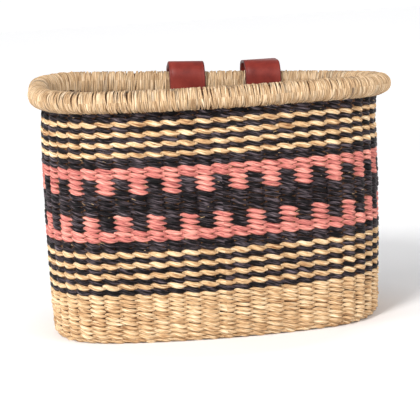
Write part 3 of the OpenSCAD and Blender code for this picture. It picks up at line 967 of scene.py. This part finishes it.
def loop_strap(side):
    """One strip: sewn leg inside, over the rim, round the handlebar and down to the pointed tail."""
    low, high = strap_box("strap_" + side)
    tail_low, tail_high = strap_box("strap_tail_" + side)
    x0 = (low[0] + high[0]) / 2
    half = (high[0] - low[0]) / 2
    thick = tail_high[1] - tail_low[1]
    half_t = thick / 2
    leg_y = low[1] + half_t
    tail_y = (tail_low[1] + tail_high[1]) / 2
    tail_end = tail_low[2]
    path, bar_y = loop_path(leg_y, high[2], low[2], half_t, tail_y, tail_end, side)

    s = np.linspace(0, 1, len(path))
    rest = path[:, 1] - tail_end
    on_tip = (path[:, 0] > tail_y - 4 * MM) & (rest < TIP_L) & (s > 0.7)
    widths = np.where(on_tip, 0.22 + 0.78 * np.clip(rest / TIP_L, 0, 1) ** 0.62, 1.0)
    on_body = np.clip((bar_y - path[:, 0]) / (bar_y - RIM_D), 0, 1)
    sway = LEAN * np.minimum(path[:, 1] - RIM_Z, 0) * (path[:, 0] < RIM_D)
    dip = DIP_X + DIP_XY
    name = "strap_" + side
    piece = strip(name + "_leather", path, path_normals(path), half, thick, x0, widths, sway, dip * on_body)

    def drill(bm):
        for i in range(HOLES):
            place = Matrix.Translation((x0, tail_y, tail_end + FIRST_HOLE + HOLE_PITCH * i))
            bmesh.ops.create_cone(bm, cap_ends=True, segments=20, radius1=HOLE_R, radius2=HOLE_R,
                                  depth=20 * MM, matrix=place @ Matrix.Rotation(math.pi / 2, 4, "X"))

    cut_away(piece, drill)
    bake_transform(piece)
    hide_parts(name, "strap_tail_" + side)

    places = []
    for at, along in seam(x0, leg_y - half_t, low[2] + 4 * MM, RIM_Z - 17 * MM, half - SEAM_IN):
        moved = np.array([LEAN * (at[2] - RIM_Z), 0, dip * (at[0] - x0)])
        places.append((at + moved, along))
    stitches(name + "_seam", places, (0, -1, 0), "basket", "strap_stitches_" + side)


def hanger(side):
    """The buckle strap: folded and sewn at the top, free below, and folded round the heel bar."""
    low, high = strap_box("buckle_anchor_" + side)
    strap_top = strap_box("buckle_strap_" + side)[1][2]
    x0 = (low[0] + high[0]) / 2
    half = (high[0] - low[0]) / 2
    thick = (high[1] - low[1]) / 2
    heel = joint_point("frame_turn_" + side)[1:]
    swing = joint_point("hanger_swing_" + side)
    in_y, out_y = low[1] + thick / 2, high[1] - thick / 2
    apart = FOLD_T / 2 + 0.05 * MM      # the two layers below the swing lie this far from the heel's line
    main_y, back_y = heel[0] - apart, heel[0] + apart
    above_heel = heel[1] + 7 * MM
    shoulder = high[2] - 2.5 * MM
    chain = np.concatenate([
        [[in_y, low[2] + 1 * MM], [in_y, shoulder], [(in_y + out_y) / 2, high[2]], [out_y, shoulder],
         [out_y, swing[2] + 4 * MM], [main_y, swing[2] - 5 * MM], [main_y, above_heel]],
        arc(heel, HEEL_R + FOLD_T / 2, 165, 375, 30),
        [[back_y, above_heel], [back_y, strap_top - 11 * MM]],
    ])
    path = smooth(polyline(chain, 1.0 * MM), 4)
    piece = strip("buckle_strap_" + side + "_leather", path, path_normals(path), half, FOLD_T, x0)

    def punch(bm):
        place = Matrix.Translation((x0, heel[0], heel[1] + 0.5 * MM))
        bmesh.ops.create_cube(bm, size=1, matrix=place @ Matrix.Diagonal((*SLOT, 1)))

    cut_away(piece, punch)
    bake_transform(piece)
    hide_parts("buckle_anchor_" + side, "buckle_strap_" + side)

    face = out_y + FOLD_T / 2
    places = seam(x0, face, low[2] + SEAM_IN, high[2] - SEAM_IN, half - SEAM_IN)
    stitches("anchor_" + side + "_seam", places, (0, 1, 0), "basket", "anchor_stitches_" + side)
    face = back_y + FOLD_T / 2
    reach = half - 6 * MM
    rows = (strap_top - 15 * MM, strap_top - 20 * MM)
    places = [(np.array([x0 + x, face, z]), (1, 0, 0)) for z in rows for x in np.linspace(-reach, reach, 6)]
    stitches("fold_" + side + "_seam", places, (0, 1, 0), "hanger_" + side, "fold_stitches_" + side)


# ---------------------------------------------------------------- buckles and keepers

FRAME_BEND = 3.4 * MM                   # corner radius of a buckle frame
EYE_R = 2.95 * MM                       # radius of the prong's eye, at the middle of its wire
KEEPER_T = 1.8 * MM
KEEPER_BEND = 2.2 * MM


def buckle_frame(side, low, high):
    """The bent wire, with a rolled sleeve on the toe bar."""
    r = (high[1] - low[1]) / 2
    y = (low[1] + high[1]) / 2
    builder = Builder()
    loop = rounded_loop(low[[0, 2]] + r, high[[0, 2]] - r, FRAME_BEND, 1.2 * MM)
    path = np.column_stack([loop[:, 0], np.full(len(loop), y), loop[:, 1]])
    across = np.tile([0.0, 1.0, 0.0], (len(path), 1))
    up = np.cross(loop_tangents(path), across)
    rings = rings_along(path, across, up, r * 0.86, r, 14)
    builder.tube(rings, np.arange(len(path)) / 20, closed=True)
    count = 24
    sleeve_in = 9 * MM
    x = np.linspace(low[0] + sleeve_in, high[0] - sleeve_in, count)
    path = np.column_stack([x, np.full(count, y), np.full(count, low[2] + r)])
    bead = np.full(count, r * 1.22)
    bead[[0, -1]] = r * 1.02
    bead[[1, -2]] = r * 1.16
    across = np.tile([0.0, 1.0, 0.0], (count, 1))
    up = np.tile([0.0, 0.0, 1.0], (count, 1))
    builder.tube(rings_along(path, across, up, bead, bead, 16), x * 30, 3, 4)
    piece = builder.piece("buckle_frame_" + side + "_brass", BRASS)
    settle(piece, "frame_" + side, "brass", "buckle_frame_" + side)


def buckle_prong(side, low, high):
    """The prong, with an eye round the heel bar and its tip on the toe bar. low and high are the frame's."""
    r = (high[1] - low[1]) / 2
    y = (low[1] + high[1]) / 2
    x0 = (low[0] + high[0]) / 2
    tip_z = strap_box("buckle_prong_" + side)[0][2]
    heel = joint_point("prong_turn_" + side)
    tip_y = y + r * 1.22 + 1.3 * MM
    line = polyline([
        [heel[1] + 2.6 * MM, heel[2] - 2.2 * MM], [y + 2.4 * MM, heel[2] - 12 * MM],
        [tip_y, low[2] + r + 3 * MM], [tip_y - 0.3 * MM, tip_z + 0.5 * MM],
    ], 1.2 * MM)
    line = smooth(line, 5)
    blade = np.column_stack([np.full(len(line), x0), line])
    t = np.linspace(0, 1, len(line))
    across, up = frames_along(blade, (1, 0, 0))
    wide = 1.7 * MM * (1 - 0.35 * t)
    wide[-2:] = 0.8 * MM, 0.4 * MM
    deep = 1.15 * MM * (1 - 0.25 * t)
    deep[-2:] = 0.7 * MM, 0.35 * MM
    builder = Builder()
    builder.tube(rings_along(blade, across, up, wide, deep, 12), t)
    a = np.radians(np.linspace(40, 400, 28))
    eye = np.column_stack([np.full(28, x0), heel[1] + EYE_R * np.cos(a), heel[2] + EYE_R * np.sin(a)])
    across, up = frames_along(eye, (1, 0, 0))
    builder.tube(rings_along(eye, across, up, 1.9 * MM, 0.7 * MM, 12), a / 6, 2, 3)
    piece = builder.piece("buckle_prong_" + side + "_brass", BRASS)
    settle(piece, "prong_" + side, "brass", "buckle_prong_" + side)


def buckle(side):
    """A brass frame and its prong."""
    low, high = strap_box("buckle_frame_" + side)
    buckle_frame(side, low, high)
    buckle_prong(side, low, high)


def keeper(side):
    """A leather loop round both layers of the buckle strap."""
    low, high = strap_box("keeper_" + side)
    half_h = (high[2] - low[2]) / 2
    z = (low[2] + high[2]) / 2
    half_t = KEEPER_T / 2
    path = rounded_loop(low[:2] + half_t, high[:2] - half_t, KEEPER_BEND, 1.0 * MM)
    t = loop_tangents(path)
    out = np.column_stack([t[:, 1], -t[:, 0]])
    profile, edge = strip_profile(half_h, KEEPER_T, 1.8 * MM)
    n, k = len(path), len(profile)
    rings = np.zeros((n, k, 3))
    rings[:, :, 0] = path[:, 0, None] + out[:, 0, None] * profile[None, :, 1]
    rings[:, :, 1] = path[:, 1, None] + out[:, 1, None] * profile[None, :, 1]
    rings[:, :, 2] = z - profile[None, :, 0]
    builder = Builder()
    builder.tube(rings, np.arange(n) * MM, closed=True)
    uv = builder.uvs[0].reshape(n, k, 4, 2)
    nxt = (np.arange(k) + 1) % k
    uv[:, :, :2, 1] = edge[None, :, None]
    uv[:, :, 2:, 1] = edge[nxt][None, :, None]
    piece = builder.piece("keeper_" + side + "_leather", LEATHER)
    settle(piece, "keeper_" + side, "leather", "keeper_" + side)


# ---------------------------------------------------------------- put it together

camera()
studio()
weave()
stakes()
base()
strays()
rim_winding()
rim_bundle()
for which in ("left", "right"):
    loop_strap(which)
    hanger(which)
    buckle(which)
    keeper(which)
